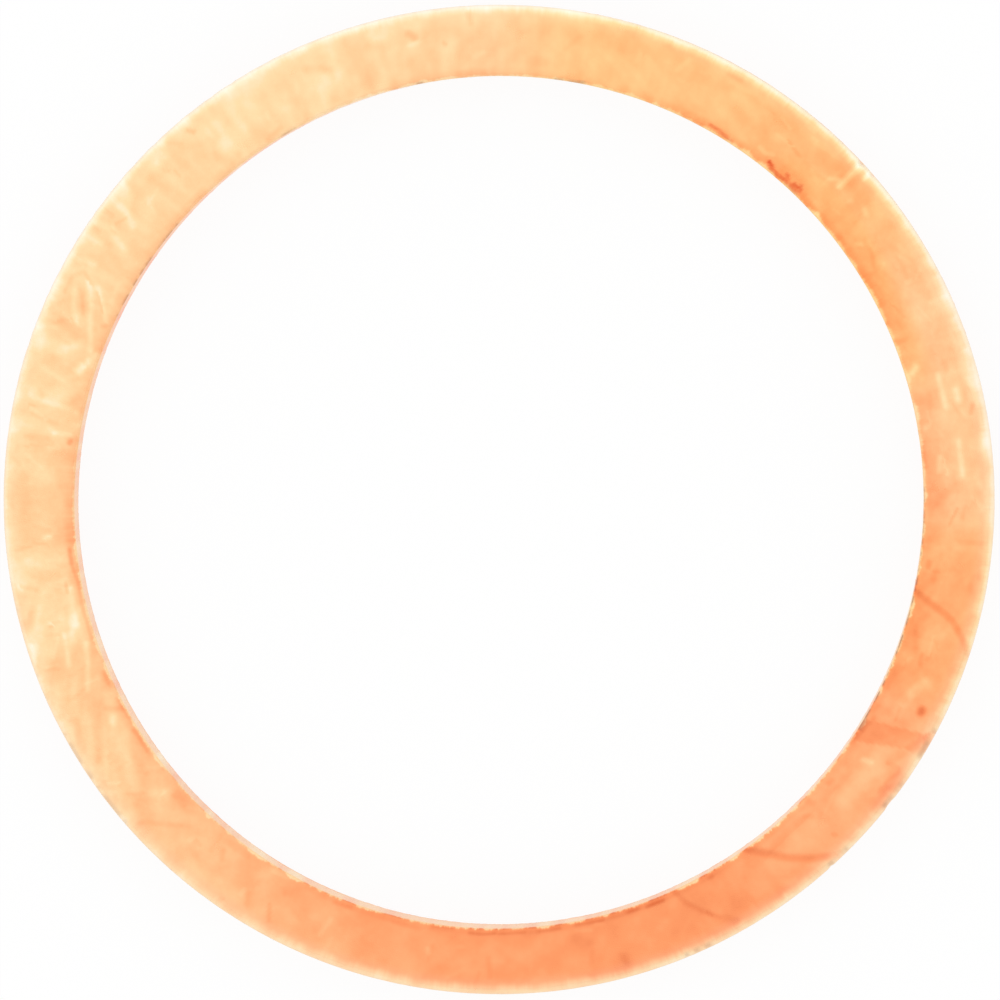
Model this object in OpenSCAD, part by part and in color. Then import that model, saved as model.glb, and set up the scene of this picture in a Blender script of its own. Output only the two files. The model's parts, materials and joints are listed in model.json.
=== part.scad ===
// Drain plug washer: a flat sealing ring stamped in one stroke from soft copper strip.
// It lies on its lower face. The origin is the centre of that face, and +Z runs along the
// bore. All sizes are in millimetres.

/* [Ring] */
// Bore diameter, which passes over the thread of the plug
bore_d = 27.4; // [8:0.1:60]
// Radial width of the copper, from the bore to the outside
ring_w = 2.25; // [1.5:0.05:6]
// Thickness between the two flat sealing faces
ring_t = 2; // [1.2:0.1:3]

/* [Stamped edges] */
// Radius that the die rolls on the outer edge of the upper face
outer_roll = 0.22; // [0.1:0.02:0.4]
// Radius that the punch rolls on the bore edge of the upper face
bore_roll = 0.12; // [0.06:0.02:0.3]
// Radius that tumbling leaves on both edges of the lower face
lower_edge = 0.06; // [0.03:0.01:0.12]
// Height of the torn band at the foot of each wall, below the smooth sheared one
tear_h = 0.5; // [0.3:0.05:0.7]
// How far each wall has drawn back at the foot of its torn band
tear_in = 0.05; // [0.01:0.01:0.1]

/* [Hidden] */
$fn = 240;
// Facets on each small edge arc when it is drawn as a mesh
edge_fn = 64;
// Radii of the smooth walls
bore_r = bore_d / 2;
outer_r = bore_r + ring_w;
// Lean of the torn bands away from the vertical
tear_lean = atan(tear_in / tear_h);

// A unit vector in the section, where the first number is the radius and the second is the height
function along(angle) = [cos(angle), sin(angle)];

// What has to come off a corner at the origin to leave an arc that is tangent to its two sides.
// Each side is given by the direction in which it leaves the corner.
module corner_waste(side_a, side_b, radius) {
    half = (side_b - side_a) / 2;
    middle = (side_a + side_b) / 2;
    reach = radius / tan(half);
    centre = radius / sin(half) * along(middle);
    difference() {
        polygon([
            centre,
            reach * along(side_a),
            -radius * along(middle),
            reach * along(side_b)
        ]);
        translate(centre) circle(radius, $fn = edge_fn);
    }
}

// The ring's section as the stroke leaves it: square-cut walls with a torn band at the foot
module sheared_blank() {
    polygon([
        [bore_r, ring_t],
        [bore_r, tear_h],
        [bore_r + tear_in, 0],
        [outer_r - tear_in, 0],
        [outer_r, tear_h],
        [outer_r, ring_t]
    ]);
}

// The finished section, with rolled upper edges and tumbled lower ones
module ring_section() {
    difference() {
        sheared_blank();
        translate([bore_r, ring_t]) corner_waste(-90, 0, bore_roll);
        translate([outer_r, ring_t]) corner_waste(180, 270, outer_roll);
        translate([bore_r + tear_in, 0]) corner_waste(0, 90 + tear_lean, lower_edge);
        translate([outer_r - tear_in, 0]) corner_waste(90 - tear_lean, 180, lower_edge);
    }
}

module washer() {
    color([0.95, 0.68, 0.49]) rotate_extrude() ring_section();
}

washer();
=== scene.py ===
"""A drain plug washer: a flat copper sealing ring, lying on a white table and seen from above."""

import json
import math
import random

import bpy
from mathutils import Matrix, Vector


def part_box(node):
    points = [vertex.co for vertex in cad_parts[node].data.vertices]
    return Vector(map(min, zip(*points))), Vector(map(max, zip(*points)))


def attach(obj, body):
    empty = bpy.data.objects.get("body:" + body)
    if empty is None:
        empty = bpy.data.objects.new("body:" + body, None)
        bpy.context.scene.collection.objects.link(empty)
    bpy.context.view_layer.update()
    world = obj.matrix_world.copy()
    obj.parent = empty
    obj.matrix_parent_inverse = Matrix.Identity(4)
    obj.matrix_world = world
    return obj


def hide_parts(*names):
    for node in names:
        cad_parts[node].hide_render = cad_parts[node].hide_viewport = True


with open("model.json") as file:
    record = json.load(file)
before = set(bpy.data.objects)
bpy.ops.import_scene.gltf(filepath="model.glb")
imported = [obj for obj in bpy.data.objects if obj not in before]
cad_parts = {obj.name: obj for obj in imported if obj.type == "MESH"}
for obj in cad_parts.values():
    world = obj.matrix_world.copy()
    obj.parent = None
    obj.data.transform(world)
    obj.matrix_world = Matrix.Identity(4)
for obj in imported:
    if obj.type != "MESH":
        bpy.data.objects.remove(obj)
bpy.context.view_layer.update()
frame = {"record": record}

# The washer
# A flat ring of soft copper, blanked and pierced in one stroke, then annealed and tumbled. The
# die rolls its upper edges over, and the shear leaves its walls smooth above and torn below.

MM = 0.001
BORE_RADIUS = next(m for m in frame["record"]["mounts"] if m["name"] == "bore")["dims"]["r_mm"] * MM
OUTER_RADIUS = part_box("washer")[1].x
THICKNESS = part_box("washer")[1].z
MIDDLE_RADIUS = (BORE_RADIUS + OUTER_RADIUS) / 2
RING_WIDTH = OUTER_RADIUS - BORE_RADIUS

# What the press and the tumbling barrel do to the edges
OUTER_ROLL = 0.22 * MM
BORE_ROLL = 0.12 * MM
LOWER_EDGE = 0.06 * MM
TEAR_HEIGHT = 0.5 * MM
TEAR_IN = 0.05 * MM

# How unevenly it comes off the press. Soft copper also goes a little out of round: each edge
# is longer one way, towards an angle in degrees.
PUNCH_OFFSET = Vector((0.012 * MM, -0.074 * MM, 0))
BORE_OUT_OF_ROUND = 0.05 * MM
BORE_LONGER_TOWARDS = 62
RIM_OUT_OF_ROUND = 0.018 * MM
RIM_LONGER_TOWARDS = 28
FACE_WAVE = 0.004 * MM
STRIATION = 0.006 * MM
TEAR_ROUGHNESS = 0.03 * MM
TEAR_WANDER = 0.12 * MM
TEAR_BLUR = 0.05 * MM
GRAIN = 0.002 * MM
STEPS_ROUND = 1150

# The rim is serrated within reach of one angle, and elsewhere by a share of that
SERRATION = 0.05 * MM
SERRATED_TOWARDS = 140
SERRATED_REACH = 17
SERRATED_ELSEWHERE = 0.25

# A crease has this depth where its painted shade changes the tone by that much
CREASE_DEPTH = 0.012 * MM
CREASE_SHADE = 0.07

# Every place on the upper face is (degrees round the ring, mm out from the bore), and widths,
# lengths and depths are in mm. Tones are green levels from 0 to 1, because red is full in all
# of this copper. Each kind of mark gives the share of its width that is its core, and then its
# marks: the places that each runs through, its width and its change of tone.

# Nicks in the rim: degrees round the ring, length and depth
NICKS = [(42.9, 0.3, 0.07), (41.2, 0.25, 0.05), (312.4, 0.2, 0.03), (322.4, 0.5, 0.03)]

PRESS_BAND = (0.8, [
    ([(331.2, 2.25), (330.3, 2.05)], 0.64, -0.100),
    ([(330.3, 2.05), (329.9, 1.5), (329.2, 0.9)], 0.70, -0.070),
    ([(329.2, 0.9), (328.2, 0.2), (327.8, -0.1)], 0.80, -0.060),
])

# The darker tones of the creases are painted shade in them
SHADED_CREASES = (0.1, [
    ([(348.3, 0.0), (346.9, 0.7), (345.5, 1.4), (343.3, 1.95), (342.0, 2.2)], 0.36, -0.085),
    ([(305.6, 0.0), (307.5, 0.55), (309.1, 1.05), (311.3, 1.6), (313.8, 2.1)], 0.42, -0.090),
    ([(294.4, 0.0), (295.1, 0.5), (296.6, 1.05), (298.3, 1.55), (299.8, 1.9)], 0.30, -0.055),
    ([(298.3, 1.55), (299.8, 1.9)], 0.46, -0.045),
    ([(42.9, 2.1), (42.9, 1.2)], 0.32, 0.120),
])

PATCHES = (0.1, [
    # Over the lower right
    ([(308.5, 1.0), (314.8, 0.9)], 1.40, 0.045),
    ([(319.5, 1.0), (325.0, 1.1)], 1.10, 0.050),
    ([(332.5, 0.8), (335.5, 1.0), (337.5, 1.3)], 0.60, 0.045),
    ([(341.0, 0.4), (350.0, 0.5)], 0.80, -0.030),
    ([(308.0, 0.25), (322.0, 0.25)], 0.70, 0.045),
    ([(307.5, 2.0), (303.5, 1.75)], 0.60, -0.030),
    ([(286.0, 0.4), (297.0, 0.4)], 0.70, 0.018),
    ([(325.4, 2.0), (321.8, 2.0)], 0.90, -0.080),
    # Over the right side
    ([(3.5, 1.3), (8.0, 1.2)], 0.60, 0.025),
    ([(13.0, 1.2), (18.0, 1.4)], 0.90, 0.030),
    ([(24.0, 1.3), (30.0, 1.4)], 0.90, 0.015),
    ([(356.0, 0.5), (14.0, 0.5), (26.0, 0.6), (40.0, 0.5)], 1.00, -0.030),
    ([(12.0, 2.0), (22.0, 1.95), (36.0, 2.05)], 0.60, 0.035),
    ([(46.0, 0.4), (52.0, 0.4)], 0.60, -0.040),
    ([(39.5, 1.6), (47.0, 1.5)], 0.70, -0.025),
    ([(48.6, 1.8), (50.7, 1.9)], 0.60, 0.045),
    ([(53.0, 1.1), (54.6, 1.3), (59.5, 1.3)], 0.90, 0.040),
    ([(6.3, 2.0), (9.4, 2.1)], 0.50, 0.045),
    ([(46.0, 1.9), (58.0, 1.9)], 0.70, 0.020),
    # Over the top
    ([(84.0, 0.5), (85.7, 0.5)], 0.55, -0.035),
    ([(63.4, 0.4), (65.0, 0.4)], 0.50, -0.020),
    ([(69.0, 1.7), (84.0, 1.6)], 1.00, -0.030),
    ([(103.4, 1.4), (105.8, 1.5)], 0.50, -0.030),
    ([(111.4, 1.25), (113.9, 1.5)], 0.45, -0.040),
    ([(105.0, 0.15), (127.0, 0.1)], 0.80, 0.030),
    ([(122.0, 1.3), (127.0, 0.7)], 1.10, 0.018),
    ([(95.0, 0.4), (105.0, 0.5)], 0.80, 0.020),
    ([(95.0, 1.5), (103.0, 1.5)], 0.80, -0.020),
    ([(126.5, 1.45), (129.5, 1.5)], 0.60, 0.020),
    ([(134.0, 1.8), (138.0, 1.8)], 0.60, 0.035),
    # Over the left side
    ([(139.6, 2.0), (142.0, 1.6)], 0.80, 0.035),
    ([(147.0, 1.3), (147.8, 0.8)], 0.50, -0.020),
    ([(157.5, 1.7), (158.5, 1.0)], 0.60, -0.025),
    ([(159.2, 2.0), (161.2, 1.9)], 0.50, 0.030),
    ([(175.9, 0.5), (177.8, 0.4)], 0.50, -0.035),
    ([(177.0, 1.6), (181.0, 1.6)], 0.60, -0.025),
    ([(187.5, 1.5), (187.9, 0.9)], 0.70, 0.035),
    ([(191.4, 0.35), (195.8, 0.55)], 0.45, 0.045),
    ([(194.6, 1.95), (191.6, 1.9)], 0.80, -0.070),
    ([(204.8, 1.5), (206.4, 1.65)], 0.45, -0.025),
    ([(207.6, 1.65), (211.1, 1.95)], 0.50, -0.050),
    ([(207.6, 1.25), (211.7, 1.65)], 0.40, 0.025),
    ([(214.8, 0.9), (217.8, 1.1)], 0.80, 0.035),
    ([(218.4, 1.25), (220.0, 0.95), (221.1, 0.5)], 0.50, 0.030),
    ([(222.6, 0.3), (224.8, 0.3)], 0.70, -0.050),
    # Over the bottom
    ([(231.5, 0.25), (234.7, 0.2)], 0.45, -0.035),
    ([(230.0, 1.7), (236.5, 1.6)], 0.90, 0.035),
    ([(242.8, 1.2), (243.8, 1.35)], 0.60, 0.035),
    ([(280.2, 0.55), (281.5, 0.8)], 0.60, -0.030),
    ([(285.7, 1.75), (285.8, 1.55)], 0.50, -0.030),
])

SCRAPES = (0, [
    # By the nick on the upper right
    ([(44.4, 1.15), (43.5, 1.35)], 0.26, 0.060),
    ([(41.5, 2.15), (41.4, 1.95)], 0.30, 0.120),
    ([(40.7, 1.13), (40.6, 1.2)], 0.26, 0.045),
    ([(38.7, 1.35), (38.2, 1.3)], 0.32, 0.065),
    ([(35.9, 0.5), (35.6, 0.6)], 0.26, 0.075),
    ([(34.3, 0.75), (33.3, 0.66), (32.3, 0.55)], 0.28, -0.055),
    ([(31.9, 0.85), (31.6, 0.75)], 0.26, 0.030),
    ([(28.3, 1.3), (28.3, 1.2)], 0.30, 0.045),
    ([(37.9, 0.2), (37.1, 0.15)], 0.30, -0.045),
    ([(53.7, 0.45), (52.7, 0.40), (51.8, 0.52)], 0.26, 0.060),
    ([(60.0, 1.9), (61.6, 1.9)], 0.30, -0.045),
    # Scuffs along the right side
    ([(24.8, 1.75), (24.8, 1.6)], 0.36, 0.040),
    ([(22.0, 0.35), (22.0, 0.1)], 0.36, -0.045),
    ([(18.2, 0.4), (17.6, 0.25)], 0.42, 0.130),
    ([(16.6, 1.3), (17.5, 1.3)], 0.40, -0.045),
    ([(16.4, 1.0), (12.2, 1.0)], 0.32, 0.080),
    ([(13.9, 1.45), (12.6, 1.45)], 0.40, 0.080),
    ([(11.6, 1.85), (10.8, 1.75)], 0.26, -0.080),
    ([(10.4, 0.35), (10.1, 0.25)], 0.30, 0.070),
    ([(7.6, 1.22), (3.5, 1.25)], 0.32, 0.070),
    ([(6.0, 0.6), (4.3, 0.52)], 0.38, 0.080),
    ([(2.3, 1.05), (0.4, 0.4)], 0.50, -0.035),
    ([(5.0, 0.1), (8.5, 0.1)], 0.24, -0.040),
    # Along the top
    ([(91.8, 0.15), (95.2, 0.15)], 0.36, -0.030),
    ([(91.8, 0.75), (93.0, 0.65)], 0.34, 0.035),
    ([(93.4, 2.0), (93.2, 1.7)], 0.32, -0.050),
    ([(96.7, 1.15), (96.5, 1.1)], 0.22, -0.055),
    ([(101.1, 1.25), (99.9, 1.25)], 0.26, 0.025),
    ([(100.8, 1.6), (100.2, 1.45)], 0.42, -0.080),
    ([(120.1, 0.25), (122.3, 0.15)], 0.34, -0.045),
    ([(126.6, 0.3), (127.9, 0.2)], 0.36, -0.030),
    ([(129.9, 1.85), (129.5, 1.7)], 0.28, -0.080),
    # The fan of arcs on the left
    ([(139.3, 2.05), (139.3, 1.8)], 0.30, -0.035),
    ([(142.1, 1.95), (142.0, 1.5), (143.1, 1.05)], 0.40, 0.045),
    ([(143.5, 2.0), (143.5, 1.75)], 0.26, -0.045),
    ([(145.3, 2.0), (144.9, 1.55), (145.9, 0.9)], 0.44, 0.050),
    ([(146.0, 2.0), (146.0, 1.8)], 0.24, -0.035),
    ([(147.1, 1.95), (147.0, 1.55)], 0.28, 0.035),
    ([(150.0, 1.85), (149.6, 1.4)], 0.34, 0.050),
    ([(154.3, 1.8), (152.1, 1.8), (151.0, 1.55), (151.8, 1.15)], 0.24, -0.040),
    ([(153.4, 1.55), (155.3, 1.35), (156.8, 1.1)], 0.34, 0.052),
    ([(153.6, 1.27), (155.6, 1.0)], 0.24, -0.050),
    ([(151.7, 1.3), (154.0, 0.9), (156.2, 0.7), (159.6, 0.35)], 0.34, 0.055),
    ([(152.4, 0.9), (154.2, 0.5)], 0.20, -0.030),
    ([(151.7, 0.95), (153.4, 0.6), (155.2, 0.25)], 0.30, 0.040),
    ([(149.9, 0.45), (152.4, 0.4)], 0.30, 0.020),
    ([(156.0, 0.3), (155.8, 0.2)], 0.28, -0.065),
    ([(159.9, 0.9), (161.2, 1.3)], 0.50, 0.030),
    ([(162.6, 0.5), (161.6, 0.4)], 0.50, 0.090),
    ([(161.6, 0.4), (159.8, 0.14)], 0.36, 0.060),
    ([(163.7, 1.6), (164.3, 0.9)], 0.36, 0.035),
    ([(166.5, 0.4), (165.9, 0.3)], 0.50, -0.040),
    ([(167.3, 1.7), (167.9, 0.25)], 0.36, 0.055),
    ([(169.3, 1.55), (170.0, 0.8)], 0.36, -0.035),
    ([(171.2, 0.8), (171.0, 0.3)], 0.28, 0.055),
    ([(172.2, 1.65), (172.1, 1.0)], 0.34, -0.045),
    ([(172.1, 0.3), (171.8, 0.25)], 0.26, -0.070),
    ([(173.1, 0.9), (173.0, 0.6)], 0.26, 0.045),
    # The slanting rub marks on the lower left
    ([(184.6, 0.95), (184.4, 0.8)], 0.34, 0.070),
    ([(186.2, 0.22), (188.3, 0.22)], 0.26, -0.090),
    ([(188.3, 0.22), (190.8, 0.10), (193.9, 0.14), (198.9, 0.14)], 0.20, -0.060),
    ([(190.8, 0.5), (191.8, 0.5)], 0.20, -0.075),
    ([(200.8, 1.1), (197.0, 0.95)], 0.28, 0.050),
    ([(204.5, 0.85), (202.0, 0.55), (198.9, 0.35)], 0.34, 0.060),
    ([(199.2, 2.1), (197.3, 2.05)], 0.26, 0.060),
    ([(203.3, 0.15), (205.1, 0.15)], 0.22, -0.055),
    ([(207.3, 0.11), (210.1, 0.10)], 0.20, -0.050),
    ([(209.7, 0.6), (209.2, 0.53)], 0.40, 0.060),
    ([(212.0, 0.15), (213.3, 0.12), (215.4, 0.15)], 0.24, -0.075),
    ([(213.1, 1.7), (212.8, 1.6)], 0.28, -0.050),
    ([(222.0, 1.8), (226.5, 0.7)], 0.30, -0.030),
    ([(232.3, 0.85), (231.7, 0.55)], 0.30, -0.045),
    ([(238.1, 1.65), (237.6, 1.25)], 0.30, -0.030),
    # Along the bottom
    ([(247.8, 0.18), (250.0, 0.15)], 0.28, -0.045),
    ([(256.0, 0.2), (259.6, 0.25)], 0.24, -0.030),
    ([(261.2, 0.08), (262.8, 0.04), (264.0, 0.06)], 0.20, -0.050),
    ([(261.3, 1.0), (261.0, 0.85)], 0.28, 0.045),
    ([(265.4, 0.65), (265.1, 0.65)], 0.26, 0.030),
    ([(266.2, 0.17), (267.9, 0.20), (269.6, 0.14)], 0.20, -0.060),
    ([(269.1, 1.65), (268.8, 1.0)], 0.28, -0.035),
    ([(270.2, 0.17), (273.5, 0.14)], 0.18, -0.045),
    ([(275.4, 0.16), (278.2, 0.12)], 0.26, -0.060),
    ([(280.4, 0.11), (284.1, 0.15)], 0.20, -0.055),
    ([(287.6, 0.12), (289.1, 0.13)], 0.20, -0.060),
    ([(290.4, 0.16), (292.6, 0.16)], 0.24, -0.085),
    ([(299.6, 0.17), (299.9, 0.17)], 0.26, -0.055),
    ([(280.4, 0.3), (282.3, 0.37)], 0.24, 0.030),
    # On the lower right
    ([(297.4, 1.3), (297.1, 1.15)], 0.26, -0.050),
    ([(315.5, 1.6), (315.3, 1.5)], 0.24, -0.050),
    ([(316.4, 0.2), (316.0, 0.17)], 0.28, -0.045),
    ([(329.2, 0.08), (326.4, 0.05)], 0.40, -0.080),
    ([(320.5, 0.3), (319.9, 0.28)], 0.34, -0.050),
    ([(324.7, 2.1), (323.3, 1.75), (321.9, 2.1)], 0.44, -0.035),
    ([(326.4, 1.8), (326.3, 1.4)], 0.22, -0.050),
    ([(333.9, 1.5), (333.7, 1.5)], 0.50, -0.160),
    ([(335.0, 1.0), (334.9, 1.0)], 0.36, 0.035),
    ([(337.9, 1.0), (336.7, 1.5)], 0.40, 0.035),
    ([(340.4, 0.8), (339.2, 0.85)], 0.28, -0.055),
    ([(342.9, 0.4), (340.4, 0.6)], 0.40, -0.035),
    ([(350.0, 1.7), (349.4, 1.6)], 0.36, -0.030),
    ([(351.3, 0.65), (351.3, 0.5)], 0.24, -0.045),
    ([(352.4, 0.3), (351.8, 0.3)], 0.28, -0.080),
    ([(351.6, 1.95), (351.0, 1.95)], 0.30, -0.045),
    ([(355.1, 2.0), (355.2, 1.2)], 0.30, -0.030),
])

# Redder places, with a strength instead of a tone. Those along the bore from 46 to 61 degrees are
# painted shade on its edge, and the others heat tint
TINTED_AND_SHADED = (0.3, [
    ([(60.8, 0.2), (59.4, 0.18), (57.4, 0.1)], 0.16, 0.50),
    ([(51.6, 0.26), (51.0, 0.2)], 0.22, 0.95),
    ([(51.0, 0.15), (49.8, 0.12), (48.7, 0.15)], 0.20, 0.60),
    ([(48.7, 0.32), (48.1, 0.17)], 0.20, 0.65),
    ([(48.2, 0.14), (46.4, 0.12)], 0.30, 0.55),
    ([(47.2, 0.26), (46.7, 0.22)], 0.20, 0.70),
    ([(46.4, 0.36), (46.0, 0.2)], 0.20, 0.60),
    ([(172.1, 0.3), (171.8, 0.25)], 0.20, 0.15),
    ([(186.4, 0.22), (188.2, 0.2)], 0.20, 0.15),
    ([(323.9, 1.85), (323.1, 1.75)], 0.30, 0.15),
    ([(333.9, 1.5), (333.7, 1.5)], 0.34, 0.22),
])

# Broken dark lines of painted shadow along the edges, with a strength instead of a tone
PAINTED_SHADOW_LINES = (0, [
    ([(329.4, 0.04), (326.2, 0.02)], 0.30, 0.60),
    ([(330.0, 0.0), (334.0, 0.0), (338.0, 0.0), (342.0, 0.0), (346.0, 0.0), (350.0, 0.0)], 0.20, 0.75),
    ([(350.0, 0.0), (354.0, 0.0), (358.0, 0.0), (2.0, 0.0)], 0.20, 0.50),
    ([(78.0, 0.08), (80.0, 0.0), (82.3, 0.0)], 0.20, 0.50),
    ([(100.2, 0.0), (101.4, 0.0)], 0.20, 0.60),
    ([(118.5, 0.0), (120.5, 0.0)], 0.20, 0.45),
    ([(138.0, 0.0), (142.0, 0.0), (146.0, 0.0), (150.0, 0.0), (154.0, 0.0)], 0.20, 0.50),
    ([(192.0, 2.18), (194.0, 2.18)], 0.26, 0.20),
    ([(201.0, 2.18), (203.5, 2.18)], 0.26, 0.35),
    ([(208.5, 2.18), (212.0, 2.18), (216.0, 2.18), (220.0, 2.18), (222.5, 2.18)], 0.26, 0.25),
    ([(292.5, 2.16), (295.5, 2.16)], 0.30, 0.30),
    ([(312.5, 2.16), (315.0, 2.16)], 0.30, 0.35),
    ([(321.2, 2.16), (323.0, 2.16), (325.0, 2.16)], 0.30, 0.40),
    ([(329.0, 2.16), (332.3, 2.16)], 0.30, 0.35),
])

# Fine scuffs that the barrel leaves all over, most of them round two opposite angles. Round
# another angle they run along the ring, and opposite it across the ring. Their lengths turn
# into angles as they would at one radius, in mm.
SCUFFS = 400
SCUFF_SEED = 11
SCUFF_TONE = 0.020
SCUFF_LENGTHS = (0.1, 0.7)
SCUFF_WIDTHS = (0.16, 0.32)
SCUFF_LEAN = 0.4
SCUFFED_FROM_BORE = (0.1, 1.95)
SCUFFS_END = 2
SCUFF_RADIUS = 15
SCUFFED_TOWARDS = 5
ALONG_RING_TOWARDS = 10

# Paler and darker stretches of the face: degrees round the ring, reach, change of tone
STRETCHES = [
    (5, 7, 0.015),
    (18, 5, 0.020),
    (48, 6, -0.020),
    (97, 4, -0.012),
    (144, 10, -0.020),
    (184, 4, -0.020),
    (193, 4, 0.040),
    (248, 5, -0.020),
    (320, 5, 0.022),
    (346, 7, -0.030),
]

# Darker places that spread out from the bore, the one round 48 degrees painted shade where the
# bore's edge faces away from the light: degrees round the ring, reach, how far out, darkness
BORE_DARKENING = [
    (14, 12, 0.50, 0.025),
    (48, 14, 0.40, 0.055),
    (90, 10, 0.35, 0.020),
    (145, 12, 0.35, 0.025),
    (180, 9, 0.60, 0.040),
    (197, 14, 0.45, 0.045),
    (270, 16, 0.28, 0.035),
    (300, 10, 0.28, 0.020),
    (335, 12, 0.45, 0.030),
]


class Field:
    """A node's output, so that a rule for shape or colour reads as a Python expression."""

    def __init__(self, tree, socket=None):
        self.tree = tree
        self.socket = socket

    def make(self, kind, settings=None, sockets=None, output=0):
        """Adds a node, sets it up, then gives its sockets their values or links."""
        node = self.tree.nodes.new(kind)
        for name, value in (settings or {}).items():
            if name == "stops":
                self.lay_stops(node.color_ramp.elements, value)
            else:
                setattr(node, name, value)
        for name, value in (sockets or {}).items():
            if isinstance(value, Field):
                self.tree.links.new(value.socket, node.inputs[name])
            else:
                node.inputs[name].default_value = value
        return Field(self.tree, node.outputs[output]) if node.outputs else None

    @staticmethod
    def lay_stops(elements, stops):
        """Lays a ramp's stops, each a position and a colour."""
        while len(elements) < len(stops):
            elements.new(1)
        for element, (position, tint) in zip(elements, stops):
            element.position, element.color = position, tint

    def into(self, shader, name):
        """Leads this output into a shader's socket."""
        self.tree.links.new(self.socket, shader.inputs[name])

    def sibling(self, output):
        """Another output of the same node."""
        return Field(self.tree, self.socket.node.outputs[output])

    def math(self, operation, *values):
        """A Math node on these values."""
        return self.make("ShaderNodeMath", {"operation": operation}, dict(enumerate(values)))

    def vector(self, operation, *others):
        """A Vector Math node on this vector and the others."""
        values = dict(enumerate((self, *others)))
        return self.make("ShaderNodeVectorMath", {"operation": operation}, values)

    def __add__(self, other):
        return self.math("ADD", self, other)

    def __radd__(self, other):
        return self.math("ADD", other, self)

    def __sub__(self, other):
        return self.math("SUBTRACT", self, other)

    def __rsub__(self, other):
        return self.math("SUBTRACT", other, self)

    def __mul__(self, other):
        return self.math("MULTIPLY", self, other)

    def __rmul__(self, other):
        return self.math("MULTIPLY", other, self)

    def __abs__(self):
        return self.math("ABSOLUTE", self)

    def dot(self, other):
        return self.vector("DOT_PRODUCT", other).sibling("Value")

    def length(self):
        return self.vector("LENGTH").sibling("Value")

    def moved(self, by):
        return self.vector("ADD", by)

    def scaled(self, factor):
        return self.make("ShaderNodeVectorMath", {"operation": "SCALE"}, {0: self, "Scale": factor})

    def turned(self, angle):
        """The vector turned about the ring's axis, by an angle in radians."""
        sockets = {"Vector": self, "Angle": angle}
        return self.make("ShaderNodeVectorRotate", {"rotation_type": "Z_AXIS"}, sockets)

    def parts(self):
        """The three numbers of a vector."""
        first = self.make("ShaderNodeSeparateXYZ", sockets={0: self})
        return first, first.sibling(1), first.sibling(2)

    def upright(self):
        """A vector of this length along Z."""
        return self.make("ShaderNodeCombineXYZ", sockets={2: self})

    def fade(self, start, end):
        """Goes smoothly from 0 where the value is start to 1 where it is end."""
        return self.make(
            "ShaderNodeMapRange",
            {"interpolation_type": "SMOOTHSTEP"},
            {"Value": self, "From Min": start, "From Max": end},
        )

    def towards(self, other, share):
        """This value where share is 0, and the other where it is 1."""
        return self.make("ShaderNodeMix", {"data_type": "FLOAT"}, {0: share, 2: self, 3: other})

    def tinted(self, other, share, way="MIX"):
        """This colour mixed with another, or multiplied by it, as far as share says."""
        settings = {"data_type": "RGBA", "blend_type": way}
        return self.make("ShaderNodeMix", settings, {0: share, 6: self, 7: other}, output=2)

    def noise(self, scale, detail=2, roughness=0.5):
        """Noise round 0, mostly within 0.25 of it, where this vector is the place."""
        sockets = {"Vector": self, "Scale": scale, "Detail": detail, "Roughness": roughness}
        return self.make("ShaderNodeTexNoise", {"noise_dimensions": "3D"}, sockets) - 0.5


def heading(degrees):
    """The way from the bore's axis at that angle round the ring."""
    return Vector((math.cos(math.radians(degrees)), math.sin(math.radians(degrees)), 0))


def on_face(degrees, out):
    """A place by its angle round the ring and its distance out from the bore, in mm."""
    return heading(degrees) * (BORE_RADIUS / MM + out)


class Place:
    """A point of the ring, in mm, and what the rules below ask about it."""

    def __init__(self, mm):
        self.mm = mm
        self.flat = mm.vector("MULTIPLY", (1, 1, 0))
        self.outward = self.flat.vector("NORMALIZE")
        self.out = self.flat.length() - BORE_RADIUS / MM
        self.height = mm.parts()[2]

    def near(self, degrees, reach):
        """1 within reach degrees of an angle round the ring, and 0 from twice as far."""
        nearness = self.outward.dot(heading(degrees))
        return nearness.fade(math.cos(math.radians(2 * reach)), math.cos(math.radians(reach)))

    def spot(self, degrees, reach, amount):
        """An amount that is full within reach of an angle and gone from twice as far."""
        return self.near(degrees, reach) * amount

    def out_of_round(self, degrees):
        """1 along the way towards an angle and its opposite, and -1 halfway between them."""
        along = self.outward.dot(heading(degrees))
        return along * along * 2 - 1

    def left(self, kind):
        """What one kind of mark leaves here, as the sweep has stored it."""
        return self.mm.make("ShaderNodeAttribute", {"attribute_name": kind}, output=2)

    def torn(self):
        """1 in the torn band at the foot of a wall and 0 above it, past an uneven border."""
        border = self.outward.noise(9, 3) * (2 * TEAR_WANDER / MM)
        above, below = TEAR_HEIGHT + TEAR_BLUR, TEAR_HEIGHT - TEAR_BLUR
        return (self.height - border).fade(above / MM, below / MM)


def rounded_outline(corners):
    """A closed outline, anticlockwise, whose corners are arcs tangent to both sides.

    Each corner is (x, y, radius, steps in its arc, steps along the side after it).
    """
    arcs = []
    for i, (x, y, radius, arc_steps, _) in enumerate(corners):
        corner = Vector((x, y))
        back = (Vector(corners[i - 1][:2]) - corner).normalized()
        ahead = (Vector(corners[(i + 1) % len(corners)][:2]) - corner).normalized()
        half = back.angle(ahead) / 2
        centre = corner + (back + ahead).normalized() * radius / math.sin(half)
        start = corner + back * radius / math.tan(half) - centre
        turns = [(math.pi - 2 * half) * k / max(arc_steps, 1) for k in range(arc_steps + 1)]
        arcs.append([centre + Matrix.Rotation(turn, 2) @ start for turn in turns])
    outline = []
    for i, arc in enumerate(arcs):
        side_steps = corners[i][4]
        following = arcs[(i + 1) % len(arcs)][0]
        outline += arc + [arc[-1].lerp(following, k / side_steps) for k in range(1, side_steps)]
    return outline


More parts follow.
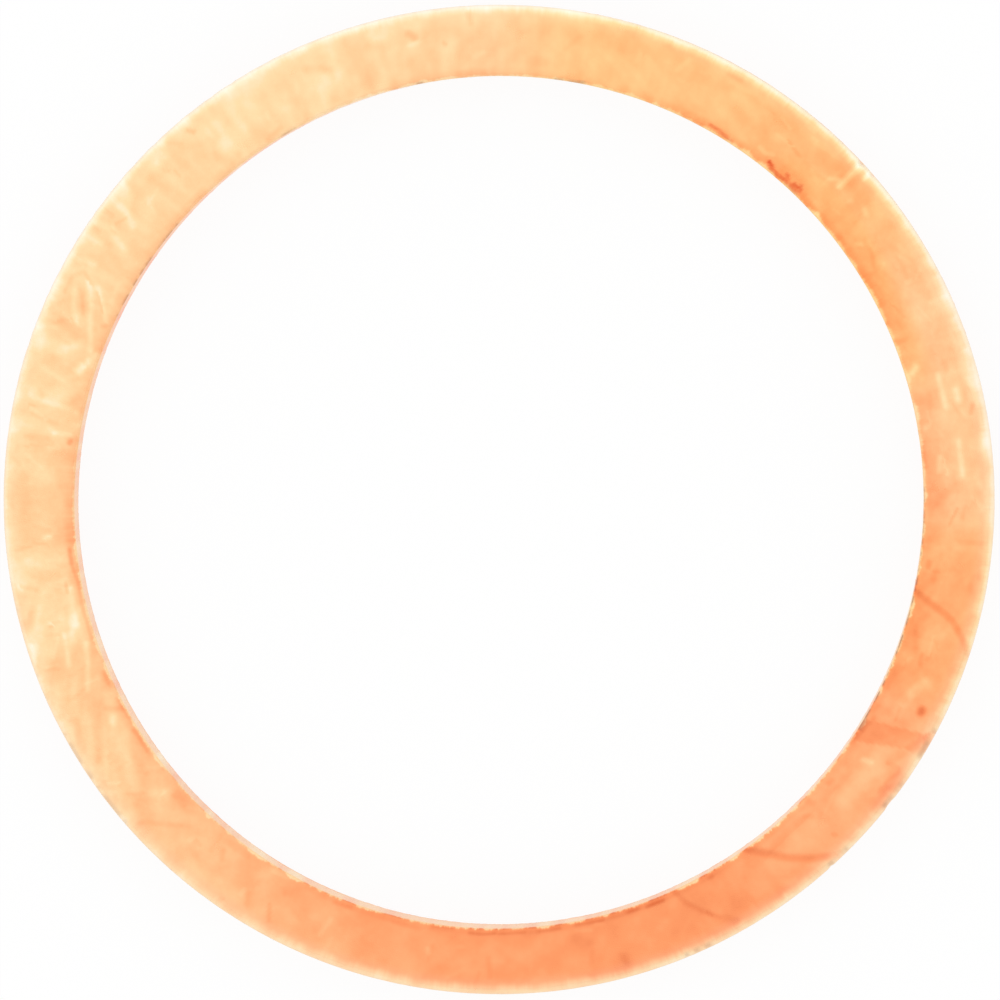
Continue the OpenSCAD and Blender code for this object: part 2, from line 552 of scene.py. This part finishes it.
def washer_section():
    """The ring's section as a mesh outline, x outwards from the middle radius and y downwards."""
    bore = BORE_RADIUS - MIDDLE_RADIUS
    outer = OUTER_RADIUS - MIDDLE_RADIUS
    outline = rounded_outline(
        [
            (bore, THICKNESS, BORE_ROLL, 5, 6),
            (bore, TEAR_HEIGHT, 0, 0, 4),
            (bore + TEAR_IN, 0, LOWER_EDGE, 3, 7),
            (outer - TEAR_IN, 0, LOWER_EDGE, 3, 4),
            (outer, TEAR_HEIGHT, 0, 0, 6),
            (outer, THICKNESS, OUTER_ROLL, 8, 38),
        ]
    )
    count = len(outline)
    sides = [(k, (k + 1) % count) for k in range(count)]
    section = bpy.data.meshes.new("washer_section")
    section.from_pydata([(point.x, -point.y, 0) for point in outline], sides, [])
    return section


def barrel_scuffs():
    """Small scuffs in random places, most of them where the ring was rubbed most."""
    draw = random.Random(SCUFF_SEED)
    scuffs = []
    while len(scuffs) < SCUFFS:
        degrees = draw.uniform(0, 360)
        out = draw.uniform(*SCUFFED_FROM_BORE)
        length = draw.uniform(*SCUFF_LENGTHS)
        from_along = math.radians(degrees - ALONG_RING_TOWARDS)
        along_ring = draw.random() < 0.5 + 0.5 * math.cos(from_along)
        lean = draw.gauss(math.pi / 2 if along_ring else 0, SCUFF_LEAN)
        width = draw.uniform(*SCUFF_WIDTHS)
        change = draw.gauss(0, SCUFF_TONE)
        from_scuffed = math.radians(2 * (degrees - SCUFFED_TOWARDS))
        if draw.random() < 0.6 + 0.4 * math.cos(from_scuffed):
            turned = math.degrees(length * math.sin(lean) / SCUFF_RADIUS)
            far_end = (degrees + turned, min(out + length * math.cos(lean), SCUFFS_END))
            scuffs.append(([(degrees, out), far_end], width, change))
    return 0, scuffs


def traced(kind, core, marks):
    """A kind of mark as lines in the plane, each edge with its reach, its core and its strength."""
    points, edges = [], []
    values = {"reach": [], "core": [], "strength": []}
    for places, width, strength in marks:
        first = len(points)
        points += [on_face(*place) * MM for place in places]
        edges += [(k, k + 1) for k in range(first, len(points) - 1)]
        reach = width / 2 * MM
        for name, value in {"reach": reach, "core": reach * core, "strength": strength}.items():
            values[name] += [value] * (len(places) - 1)
    mesh = bpy.data.meshes.new(kind)
    mesh.from_pydata(points, edges, [])
    for name, value in values.items():
        mesh.attributes.new(name, "FLOAT", "EDGE").data.foreach_set("value", value)
    return bpy.data.objects.new(kind, mesh)


def left_by(traces, flat_position):
    """The strength of the nearest of some traced marks, fading from its core to its reach."""
    lines = traces.make("GeometryNodeObjectInfo", sockets={0: traces}, output=4)
    sockets = {0: lines, 1: flat_position}
    nearest = lines.make("GeometryNodeSampleNearest", {"domain": "EDGE"}, sockets)
    of_mark = {}
    for name in ("reach", "core", "strength"):
        stored = lines.make("GeometryNodeInputNamedAttribute", {"data_type": "FLOAT"}, {"Name": name})
        settings = {"data_type": "FLOAT", "domain": "EDGE"}
        sockets = {0: lines, 1: stored, 2: nearest}
        of_mark[name] = lines.make("GeometryNodeSampleIndex", settings, sockets)
    sockets = {0: lines, "Sample Position": flat_position}
    away = lines.make("GeometryNodeProximity", {"target_element": "EDGES"}, sockets, output=1)
    return away.fade(of_mark["reach"], of_mark["core"]) * of_mark["strength"]


def uneven(at, waviness, serration, creased):
    """How far, in mm, the press and the barrel leave a point of the ring from its true place."""
    width = RING_WIDTH / MM
    top = THICKNESS / MM

    # The upper face waves slowly, ripples a little, and is pressed in where it is creased
    face = at.height.fade(top - 0.02, top)
    slow_wave, ripple = at.mm.noise(0.5), at.mm.noise(2.2)
    lift = (slow_wave * 2.8 + ripple) * face * waviness
    lift = lift - abs(creased) * face * (CREASE_DEPTH / MM / CREASE_SHADE)

    # The walls are scored down to the tear and broken below it
    wall = abs(at.out - width / 2).fade(width / 2 - 0.15, width / 2 - 0.02)
    wall = wall * at.height.fade(0.02, 0.15) * at.height.fade(top - 0.15, top - 0.4)
    scored = at.outward.noise(160, 3) * (2 * STRIATION / MM)
    crumbled = at.mm.noise(7, 3, 0.6) * (2 * TEAR_ROUGHNESS / MM)
    swell = scored.towards(crumbled, at.torn()) * wall

    # The outer edge is ragged at the top, most on one side, with a few nicks
    rim = at.out.fade(width - 0.35, width - 0.05) * at.height.fade(top - 0.6, top - 0.2)
    ragged = at.near(SERRATED_TOWARDS, SERRATED_REACH) + SERRATED_ELSEWHERE
    swell = swell + at.outward.noise(42, 3, 0.6) * ragged * rim * serration
    for degrees, length, depth in NICKS:
        away = at.flat.moved(-on_face(degrees, width)).scaled(2 / length)
        swell = swell - away.dot(away).fade(1, 0) * rim * depth

    # The ring is a little out of round, differently at the bore and at the rim
    bore_oval = at.out_of_round(BORE_LONGER_TOWARDS) * (BORE_OUT_OF_ROUND / MM)
    rim_oval = at.out_of_round(RIM_LONGER_TOWARDS) * (RIM_OUT_OF_ROUND / MM)
    swell = swell + bore_oval.towards(rim_oval, at.out.fade(0, width))
    return at.outward.scaled(swell).moved(lift.upright())


MARKS = {
    "press_band": PRESS_BAND,
    "creases": SHADED_CREASES,
    "patches": PATCHES,
    "scrapes": SCRAPES,
    "scuffs": barrel_scuffs(),
    "tinted": TINTED_AND_SHADED,
    "tarnished": PAINTED_SHADOW_LINES,
}


def sweep_tree(material):
    """Geometry nodes that sweep the section round the bore's axis and make it a little uneven."""
    tree = bpy.data.node_groups.new("washer_sweep", "GeometryNodeTree")
    named = {}
    for name, way, kind in [
        ("Section", "INPUT", "Geometry"),
        ("Middle Radius", "INPUT", "Float"),
        ("Steps Round", "INPUT", "Int"),
        ("Face Wave", "INPUT", "Float"),
        ("Serration", "INPUT", "Float"),
        ("Punch Offset", "INPUT", "Vector"),
        *((kind, "INPUT", "Object") for kind in MARKS),
        ("Ring", "OUTPUT", "Geometry"),
    ]:
        socket = tree.interface.new_socket(name, in_out=way, socket_type="NodeSocket" + kind)
        named[name] = socket.identifier
    given = Field(tree).make("NodeGroupInput")
    section = given.make("GeometryNodeMeshToCurve", sockets={0: given})
    circle = given.make(
        "GeometryNodeCurvePrimitiveCircle",
        sockets={"Radius": given.sibling("Middle Radius"), "Resolution": given.sibling("Steps Round")},
    )
    ring = given.make("GeometryNodeCurveToMesh", sockets={"Curve": circle, "Profile Curve": section})
    # The section runs clockwise once its height is turned down, so the sweep's faces point inwards
    ring = given.make("GeometryNodeFlipFaces", sockets={"Mesh": ring})
    position = given.make("GeometryNodeInputPosition")
    at = Place(position.scaled(1 / MM))
    marks = {kind: left_by(given.sibling(kind), at.flat.scaled(MM)) for kind in MARKS}
    on_points = {"data_type": "FLOAT", "domain": "POINT"}
    for name, amount in {**marks, "torn": at.torn()}.items():
        sockets = {0: ring, "Name": name, "Value": amount}
        ring = given.make("GeometryNodeStoreNamedAttribute", on_points, sockets)
    waviness, serration = (given.sibling(name) * (1 / MM) for name in ("Face Wave", "Serration"))
    shift = uneven(at, waviness, serration, marks["creases"])
    bore_side = at.out.fade(RING_WIDTH / MM, 0)
    shift = shift.scaled(MM).moved(given.sibling("Punch Offset").scaled(bore_side))
    ring = given.make("GeometryNodeSetPosition", sockets={"Geometry": ring, "Offset": shift})
    ring = given.make("GeometryNodeSetShadeSmooth", sockets={0: ring})
    ring = given.make("GeometryNodeRealizeInstances", sockets={0: ring})
    ring = given.make("GeometryNodeSetMaterial", sockets={"Geometry": ring, "Material": material})
    given.make("NodeGroupOutput", sockets={0: ring})
    return tree, named


def colour(red, green, blue):
    """A colour as a screen shows it, from 0 to 255 each, as the linear values that Blender takes."""
    parts = [c / 255 for c in (red, green, blue)]
    return [c / 12.92 if c <= 0.04045 else ((c + 0.055) / 1.055) ** 2.4 for c in parts] + [1]


# The copper by its green level, from deep orange to the cream of an edge's painted highlight
COPPER_TONES = [
    (0.40, colour(215, 95, 50)),
    (0.62, colour(254, 158, 105)),
    (0.70, colour(254, 179, 126)),
    (0.80, colour(255, 204, 152)),
    (0.86, colour(255, 219, 169)),
    (0.92, colour(255, 235, 200)),
    (1.00, colour(255, 253, 240)),
]
# Heat tint, also the colour of painted shade by the bore
HEAT_TINT_AND_SHADE = colour(228, 98, 54)
# Tarnish, also the colour of painted shadow
TARNISH_AND_SHADOW = colour(176, 112, 88)
# The colour of the rim's painted highlight
RIM_HIGHLIGHT_COLOUR = colour(255, 252, 246)
YELLOWER = colour(255, 254, 232)

# The middle tone of the faces, and the waves of painted light and shade in it round the ring,
# palest towards the upper left: how many, their crest in degrees and their height. The lower face
# has a share of the waves.
FACE_TONE = 0.750
PAINTED_LIGHT_WAVES = [(1, 129, 0.095), (2, 0, 0.031), (3, -12, 0.023)]
LOWER_FACE_SHARE = 0.4
DARKER_BY_BORE = 0.012
PALER_BY_RIM = 0.02

# The strength of the mottling, and what it gains towards an angle and its opposite
MOTTLING = 0.17
MOTTLED_TOWARDS = 10
MOTTLING_GAIN = 0.05

# Rub marks, as noise drawn out across the ring: their lean in degrees over its width, marks in
# a radian, and where they are strong, as (degrees round the ring, reach, strength)
RUBS = [
    (0, 28, [(126, 14, 0.07), (160, 9, 0.08), (18, 18, 0.035), (84, 14, 0.05), (318, 16, 0.035)]),
    (13, 16, [(206, 10, 0.12), (340, 10, 0.08), (60, 12, 0.05)]),
    (-7, 15, [(240, 13, 0.06), (285, 14, 0.08), (102, 10, 0.08)]),
]
RUBBED_ELSEWHERE = 0.04

# The bore's edge: a thin darkening all along it, and a painted highlight on its lip, with its
# width in mm. The lip is wider and narrower at two places, as (degrees round the ring, reach,
# mm), and faint on one side.
EVEN_BORE_DARKENING = 0.008
LIP_HIGHLIGHT_TONE = 0.88
LIP_WIDTH = 0.08
LIP_WIDER = (38, 22, 0.06)
LIP_NARROWER = (255, 26, 0.02)
PLAIN_SIDE = (146, 20)

# The painted highlight on the rolled rim: its width in mm, how far its inner border strays, and
# where it reaches further in
RIM_HIGHLIGHT_TONE = 0.895
RIM_HIGHLIGHT_WIDTH = 0.38
RIM_HIGHLIGHT_STRAYS = 0.36
RIM_HIGHLIGHT_WIDER = (283, 24, 0.05)

# Places where the copper is yellower, one of them only by the bore, and where the torn bands
# have darker pits than elsewhere, which is painted shadow: degrees round the ring, reach, strength
YELLOW_PLACES = [(58, 17, 0.8), (346, 7, 0.5)]
YELLOW_BY_BORE = (32, 10, 0.8)
PITTED = 0.25
SHADOW_IN_PITS = (197, 6, 0.6)

# The walls, smooth where they were sheared and rough where they tore
SHEARED_TONE = 0.775
TORN_TONE = 0.71
FACE_ROUGHNESS = 0.37
SHEARED_ROUGHNESS = 0.30
TORN_ROUGHNESS = 0.52


def wave(at, crests, degrees):
    """A cosine that has some crests round the ring, one of them at that angle."""
    x, y, _ = at.outward.parts()
    angle = x.math("ARCTAN2", y, x)
    return angle.math("COSINE", angle * crests - math.radians(degrees) * crests)


def face_tone(at, mottling):
    """The tone of the flat faces: broad waves of painted light and shade, mottling and rub marks,
    plainer on the lower one.
    """
    upper = at.height.fade(0, THICKNESS / MM)
    tone = FACE_TONE
    share = upper * (1 - LOWER_FACE_SHARE) + LOWER_FACE_SHARE
    # Broad waves of painted light and shade round the ring
    for crests, degrees, size in PAINTED_LIGHT_WAVES:
        tone = tone + wave(at, crests, degrees) * size * share
    for stretch in STRETCHES:
        tone = tone + at.spot(*stretch) * upper
    tone = tone + mottling * (wave(at, 2, MOTTLED_TOWARDS) * MOTTLING_GAIN + MOTTLING)
    tone = tone - at.out.fade(0.9, 0.3) * DARKER_BY_BORE
    for lean, marks, places in RUBS:
        turned = at.outward.turned(at.out * (-math.radians(lean) / (RING_WIDTH / MM)))
        rubbed = turned.scaled(marks).moved((at.out * 0.7).upright()).noise(1, 1)
        strength = RUBBED_ELSEWHERE
        for place in places:
            strength = strength + at.spot(*place)
        tone = tone + rubbed * strength
    return tone + at.out.fade(1.3, 2.1) * PALER_BY_RIM


def marked(at):
    """How much the marks on the upper face change its tone."""
    kinds = ("creases", "patches", "scrapes", "scuffs")
    # The creases' darker tones are painted shade
    return sum((at.left(kind) for kind in kinds), at.left("press_band"))


def bore_tone(at, tone, frayed, plain_side):
    """Darkens the bore's edge, with painted shade round 48 degrees, and paints a highlight on its lip,
    less on the plain side.
    """
    from_lip = at.flat.moved(-PUNCH_OFFSET / MM).length() - BORE_RADIUS / MM
    from_lip = from_lip - at.out_of_round(BORE_LONGER_TOWARDS) * (BORE_OUT_OF_ROUND / MM)
    darkening = EVEN_BORE_DARKENING * from_lip.fade(0.4, 0.12)
    for degrees, reach, how_far, darkness in BORE_DARKENING:
        darkening = darkening + at.spot(degrees, reach, darkness) * from_lip.fade(how_far, 0.12)
    tone = tone - darkening * (frayed * 2.5 + 1)
    # The lip's pale tone is a painted highlight
    lip = from_lip + frayed * 0.5 + at.spot(*LIP_NARROWER)
    lip = lip.fade(at.spot(*LIP_WIDER) + LIP_WIDTH, 0)
    return tone.towards(LIP_HIGHLIGHT_TONE, lip * (0.85 - plain_side * 0.65))


def copper_colour(at, tone, inset, upper, torn_wall):
    """The colour of a tone, with the copper's yellow places, heat tint and painted shade by the bore,
    the rim's painted highlight, painted shadow lines and tarnish.
    """
    tint = tone.make("ShaderNodeValToRGB", {"stops": COPPER_TONES}, {0: tone})
    yellower = at.spot(*YELLOW_BY_BORE) * at.out.fade(1.2, 0.4)
    for place in YELLOW_PLACES:
        yellower = yellower + at.spot(*place)
    tint = tint.tinted(YELLOWER, yellower, "MULTIPLY")
    # Heat tint, and painted shade by the bore from 46 to 61 degrees
    tint = tint.tinted(HEAT_TINT_AND_SHADE, at.left("tinted") * (at.mm.noise(5, 1) * 1.6 + 1) * upper)

    # The rim's painted highlight: strongest at its very edge and towards the top, and a little on a
    # wider band by it
    rim_highlight_share = inset.fade(0.18, 0) * (wave(at, 1, 90) * 0.15 + 0.2)
    rim_highlight_share = rim_highlight_share + at.out.fade(1.6, 2.1) * (wave(at, 1, 290) * 0.03 + 0.05)
    tint = tint.tinted(RIM_HIGHLIGHT_COLOUR, rim_highlight_share * upper)

    # Painted shadow lies in broken lines at the top of the walls, and tarnish in pits where they are
    # torn, with painted shadow in the pits on one side
    top = THICKNESS / MM
    corner = at.height.fade(top - 0.2, top - 0.08)
    broken = at.outward.noise(45, 1).fade(-0.1, 0.1)
    tint = tint.tinted(TARNISH_AND_SHADOW, at.left("tarnished") * broken * corner)
    pitted = at.mm.noise(3, 2).fade(0.02, 0.14) * torn_wall
    return tint.tinted(TARNISH_AND_SHADOW, pitted * (at.spot(*SHADOW_IN_PITS) + PITTED))


def copper():
    """Soft copper from the tumbling barrel, with scraped faces and sheared walls, painted highlights
    on its edges, painted shade in its creases and by its bore, and painted shadow along its edges.
    """
    material = bpy.data.materials.new("copper")
    material.use_nodes = True
    shader = material.node_tree.nodes["Principled BSDF"]
    shader.inputs["Metallic"].default_value = 1
    at = Place(Field(material.node_tree).make("ShaderNodeTexCoord", output=3).scaled(1 / MM))
    top = THICKNESS / MM
    half = RING_WIDTH / MM / 2
    upper = at.height.fade(top - 0.5, top - 0.3)
    wall = abs(at.out - half).fade(half - 0.2, half - 0.12)
    wall = wall * at.height.fade(0, 0.05) * at.height.fade(top - 0.1, top - 0.3)
    torn = at.left("torn")
    mottling = at.mm.noise(1.1, 4, 0.62)
    frayed = at.outward.noise(22, 4, 0.65)
    plain_side = at.near(*PLAIN_SIDE)

    # The faces, from the bore's lip to the rim's painted highlight, with their marks
    tone = bore_tone(at, face_tone(at, mottling), frayed, plain_side)
    strays = at.outward.moved((0, 0, 3)).noise(20, 4, 0.7) * RIM_HIGHLIGHT_STRAYS
    inset = RING_WIDTH / MM - at.out + strays - at.spot(*RIM_HIGHLIGHT_WIDER)
    # The rim's painted highlight, palest towards the top
    rim_highlight_tone = wave(at, 1, 85) * 0.045 + (mottling * 0.2 + RIM_HIGHLIGHT_TONE) + frayed * 0.12
    tone = tone.towards(rim_highlight_tone, inset.fade(RIM_HIGHLIGHT_WIDTH, 0.02) * upper)
    tone = tone + marked(at) * upper

    # The walls, streaked down to the tear and mottled below it
    streaks = at.outward.noise(160, 1) * 0.08 - at.outward.noise(22, 1) * 0.38
    sheared = streaks - plain_side * 0.05 + SHEARED_TONE
    tone = tone.towards(sheared.towards(mottling * 0.6 + TORN_TONE, torn), wall)
    copper_colour(at, tone, inset, upper, torn * wall).into(shader, "Base Color")

    dull_face = mottling * 0.5 + FACE_ROUGHNESS
    dull_wall = SHEARED_ROUGHNESS + (TORN_ROUGHNESS - SHEARED_ROUGHNESS) * torn
    dull_face.towards(dull_wall, wall).into(shader, "Roughness")

    grain = at.mm.noise(26, 1) * (4 * GRAIN / MM)
    grain.make("ShaderNodeBump", sockets={"Distance": MM, "Height": grain}).into(shader, "Normal")
    return material


washer = bpy.data.objects.new("washer_ring", washer_section())
bpy.context.scene.collection.objects.link(washer)
traces = {kind: traced(kind, core, marks) for kind, (core, marks) in MARKS.items()}
sweep = washer.modifiers.new("sweep", "NODES")
sweep.node_group, sockets = sweep_tree(copper())
sweep[sockets["Middle Radius"]] = MIDDLE_RADIUS
sweep[sockets["Steps Round"]] = STEPS_ROUND
sweep[sockets["Face Wave"]] = FACE_WAVE
sweep[sockets["Serration"]] = SERRATION
sweep[sockets["Punch Offset"]] = PUNCH_OFFSET
for kind, trace in traces.items():
    sweep[sockets[kind]] = trace
swept = washer.evaluated_get(bpy.context.evaluated_depsgraph_get())
washer.data = bpy.data.meshes.new_from_object(swept)
washer.modifiers.clear()
for trace in traces.values():
    bpy.data.objects.remove(trace)
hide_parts("washer")
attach(washer, "root")

# The table
# A plain white board. The camera and the copper see it as white, it keeps a soft shadow, and
# it is clear from below, so that the lower face of the washer can be looked at too.

TABLE_HALF = 1.2
TABLE_DROP = 0.02 * MM
SHADOW_SHARE = 0.08
BOARD_WHITE = (0.95, 0.95, 0.95, 1)


def table_top():
    """White to the camera and in the copper's reflections, but for a share of the shadow."""
    material = bpy.data.materials.new("white_board")
    material.use_nodes = True
    tree = material.node_tree
    rays = Field(tree).make("ShaderNodeLightPath")
    seen = rays.sibling("Is Camera Ray") * (1 - SHADOW_SHARE)
    seen = seen + rays.sibling("Is Glossy Ray") + rays.sibling("Is Transmission Ray")
    board = rays.make("ShaderNodeBsdfDiffuse", sockets={"Color": BOARD_WHITE})
    white = rays.make("ShaderNodeEmission", sockets={"Strength": 1})
    both = rays.make("ShaderNodeMixShader", sockets={0: seen, 1: board, 2: white})
    below = rays.make("ShaderNodeNewGeometry").sibling("Backfacing")
    clear = rays.make("ShaderNodeBsdfTransparent")
    one_sided = rays.make("ShaderNodeMixShader", sockets={0: below, 1: both, 2: clear})
    tree.links.new(one_sided.socket, tree.nodes["Material Output"].inputs["Surface"])
    return material


table_mesh = bpy.data.meshes.new("table")
signs = [(-1, -1), (1, -1), (1, 1), (-1, 1)]
corners = [(x * TABLE_HALF, y * TABLE_HALF, -TABLE_DROP) for x, y in signs]
table_mesh.from_pydata(corners, [], [(0, 1, 2, 3)])
table_mesh.materials.append(table_top())
table = bpy.data.objects.new("table", table_mesh)
bpy.context.scene.collection.objects.link(table)

# The light
# A white room, a little brighter low down and towards the window on the upper left, and one
# wide soft lamp above. The camera sees the room as plain white.

ROOM_LOW = 1.06
ROOM_HIGH = 0.90
WINDOW_TOWARDS = 115
WINDOW_SHARE = 0.08
LAMP_SIZE = 0.5
LAMP_WATTS = 0.14
LAMP_PLACE = Vector((-0.08, 0.08, 0.6))

world = bpy.data.worlds.new("white_room")
world.use_nodes = True
bpy.context.scene.world = world
way = Field(world.node_tree).make("ShaderNodeTexCoord")
high = way.parts()[2].fade(0.7, 0.96)
strength = (way.dot(heading(WINDOW_TOWARDS)) * WINDOW_SHARE + ROOM_LOW).towards(ROOM_HIGH, high)
strength = strength.towards(1, way.make("ShaderNodeLightPath").sibling("Is Camera Ray"))
strength.into(world.node_tree.nodes["Background"], "Strength")
world.node_tree.nodes["Background"].inputs["Color"].default_value = (1, 1, 1, 1)

lamp_data = bpy.data.lights.new("softbox", "AREA")
lamp_data.shape = "DISK"
lamp_data.size = LAMP_SIZE
lamp_data.energy = LAMP_WATTS
lamp = bpy.data.objects.new("softbox", lamp_data)
bpy.context.scene.collection.objects.link(lamp)
aimed_down = LAMP_PLACE.to_track_quat("Z", "Y").to_matrix().to_4x4()
lamp.matrix_world = Matrix.Translation(LAMP_PLACE) @ aimed_down

# The camera
# It looks down on the ring from high above, leaning a little to the upper right. Its angles are
# in degrees, and its lens and sensor in mm.

CAMERA_DISTANCE = 280 * MM
CAMERA_LEAN = 3.8
CAMERA_LEANS_TO = 50
CAMERA_LENS = 313.5
CAMERA_SENSOR = 36
CAMERA_NEAR = 0.01
CAMERA_AIM = Vector((0.0755 * MM, 0.04 * MM, THICKNESS))

lean = math.radians(CAMERA_LEAN)
back = heading(CAMERA_LEANS_TO) * math.sin(lean) + Vector((0, 0, math.cos(lean)))
right = Vector((0, 1, 0)).cross(back).normalized()
turn = Matrix((right, back.cross(right), back)).transposed().to_4x4()
camera = bpy.data.objects.new("camera", bpy.data.cameras.new("camera"))
bpy.context.scene.collection.objects.link(camera)
camera.matrix_world = Matrix.Translation(CAMERA_AIM + back * CAMERA_DISTANCE) @ turn
camera.data.lens = CAMERA_LENS
camera.data.sensor_width = CAMERA_SENSOR
camera.data.clip_start = CAMERA_NEAR
bpy.context.scene.camera = camera
bpy.context.scene.view_settings.view_transform = "Standard"
